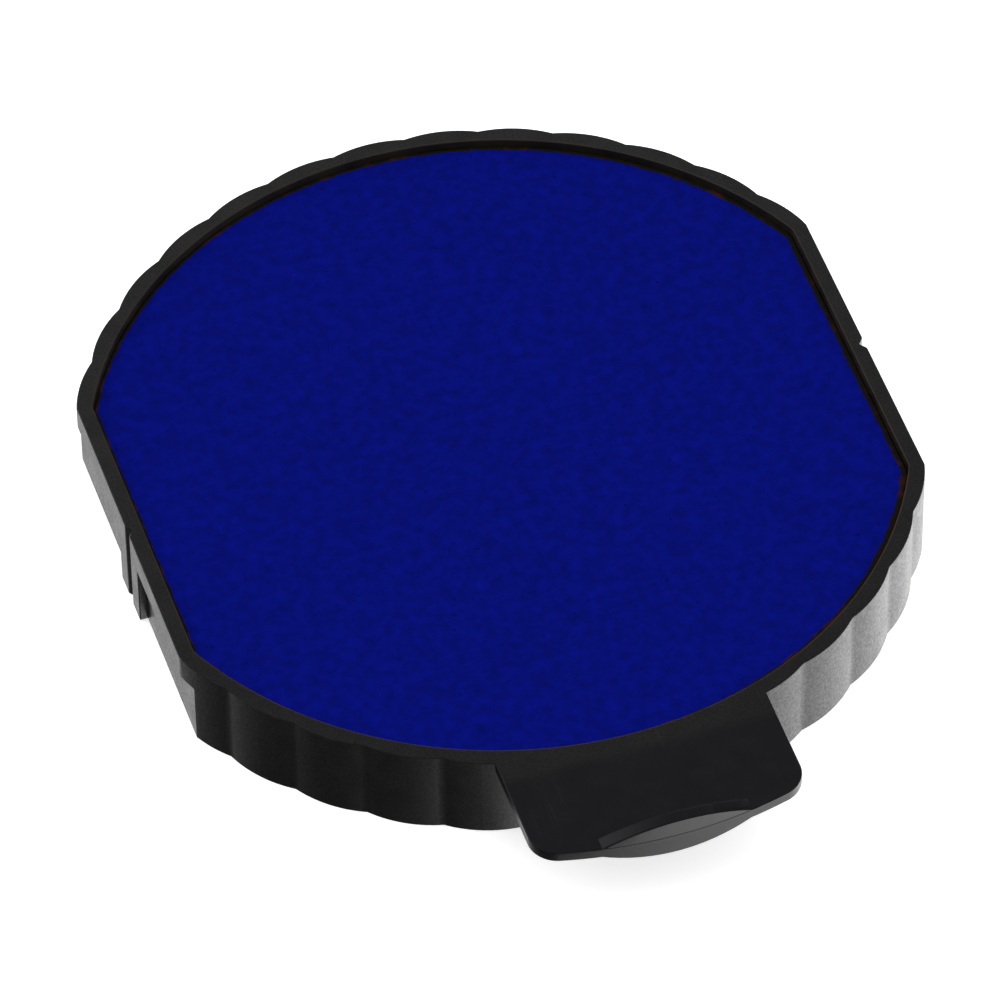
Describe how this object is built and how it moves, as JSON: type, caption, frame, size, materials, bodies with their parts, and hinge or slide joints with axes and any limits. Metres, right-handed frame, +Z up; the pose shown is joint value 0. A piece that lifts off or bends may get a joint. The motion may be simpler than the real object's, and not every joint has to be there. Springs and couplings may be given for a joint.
{
  "type": "ink pad cartridge for a round self-inking stamp",
  "caption": "Flat round tray with lobed walls, two flat sides and a pull tab with a finger grip, holding an ink-soaked felt pad under a blue cloth face; it slides into a self-inking stamp.",
  "frame": {"origin": "centre of the round body, on the tray's underside", "axes": "+Z up out of the pad face, -Y along the pull tab, X across the two flat sides"},
  "size_m": [0.048, 0.0601, 0.0075],
  "materials": {
    "black_plastic": "satin injection-moulded, fine spark-eroded texture on the walls",
    "ink_felt": "dense felt soaked with blue ink",
    "inked_cloth": "fine plain-woven cloth soaked with deep blue ink"
  },
  "bodies": {
    "root": {"tray": "black_plastic", "ink_reservoir": "ink_felt", "transfer_cloth": "inked_cloth"}
  },
  "joints": []
}
